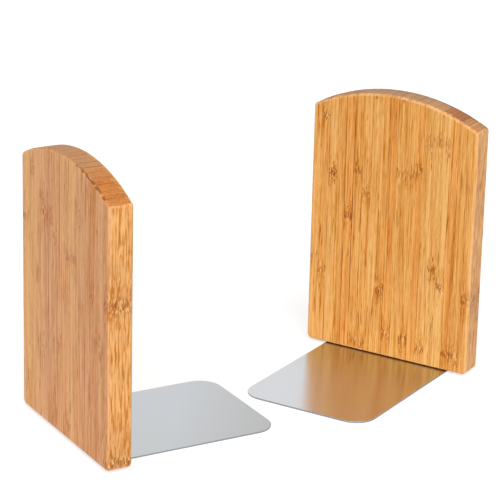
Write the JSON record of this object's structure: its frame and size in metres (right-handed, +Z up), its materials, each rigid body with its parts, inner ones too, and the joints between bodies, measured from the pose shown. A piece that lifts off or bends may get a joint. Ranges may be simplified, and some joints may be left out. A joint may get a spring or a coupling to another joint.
{
  "type": "pair of bookends",
  "caption": "Pair of free-standing bookends: arched upright boards of laminated bamboo staves, each screwed down on a thin brushed steel base plate that slides under the books.",
  "frame": {"origin": "on the shelf, under the middle of the pair's bounding box", "axes": "+X out of the left bookend's book face, along its base plate towards the right bookend; +Z up"},
  "size_m": [0.3214, 0.1632, 0.2],
  "materials": {
    "bamboo_pale": "satin lacquered laminated bamboo, pale stave",
    "bamboo_honey": "satin lacquered laminated bamboo, honey stave",
    "bamboo_amber": "satin lacquered laminated bamboo, amber stave",
    "brushed_steel": "fine brushed stainless sheet",
    "zinc_plated_steel": "bright zinc plated screws"
  },
  "bodies": {
    "left_bookend": {"left_stave_01": "bamboo_honey", "left_stave_02": "bamboo_honey", "left_stave_03": "bamboo_pale", "left_stave_04": "bamboo_honey", "left_stave_05": "bamboo_amber", "left_stave_06": "bamboo_honey", "left_stave_07": "bamboo_honey", "left_stave_08": "bamboo_pale", "left_stave_09": "bamboo_honey", "left_stave_10": "bamboo_amber", "left_stave_11": "bamboo_pale", "left_stave_12": "bamboo_honey", "left_stave_13": "bamboo_amber", "left_stave_14": "bamboo_pale", "left_stave_15": "bamboo_pale", "left_stave_16": "bamboo_pale", "left_stave_17": "bamboo_amber", "left_stave_18": "bamboo_honey", "left_stave_19": "bamboo_honey", "left_base_plate": "brushed_steel", "left_screw_1": "zinc_plated_steel", "left_screw_2": "zinc_plated_steel", "left_screw_3": "zinc_plated_steel"},
    "right_bookend": {"right_stave_01": "bamboo_honey", "right_stave_02": "bamboo_honey", "right_stave_03": "bamboo_pale", "right_stave_04": "bamboo_honey", "right_stave_05": "bamboo_amber", "right_stave_06": "bamboo_honey", "right_stave_07": "bamboo_honey", "right_stave_08": "bamboo_pale", "right_stave_09": "bamboo_honey", "right_stave_10": "bamboo_amber", "right_stave_11": "bamboo_pale", "right_stave_12": "bamboo_honey", "right_stave_13": "bamboo_amber", "right_stave_14": "bamboo_pale", "right_stave_15": "bamboo_pale", "right_stave_16": "bamboo_pale", "right_stave_17": "bamboo_amber", "right_stave_18": "bamboo_honey", "right_stave_19": "bamboo_honey", "right_base_plate": "brushed_steel", "right_screw_1": "zinc_plated_steel", "right_screw_2": "zinc_plated_steel", "right_screw_3": "zinc_plated_steel"}
  },
  "joints": [
    {"name": "right_bookend_slide", "type": "slide", "parent": "left_bookend", "child": "right_bookend", "axis": [1, 0, 0], "range_m": [-0.01, 0.3]}
  ]
}
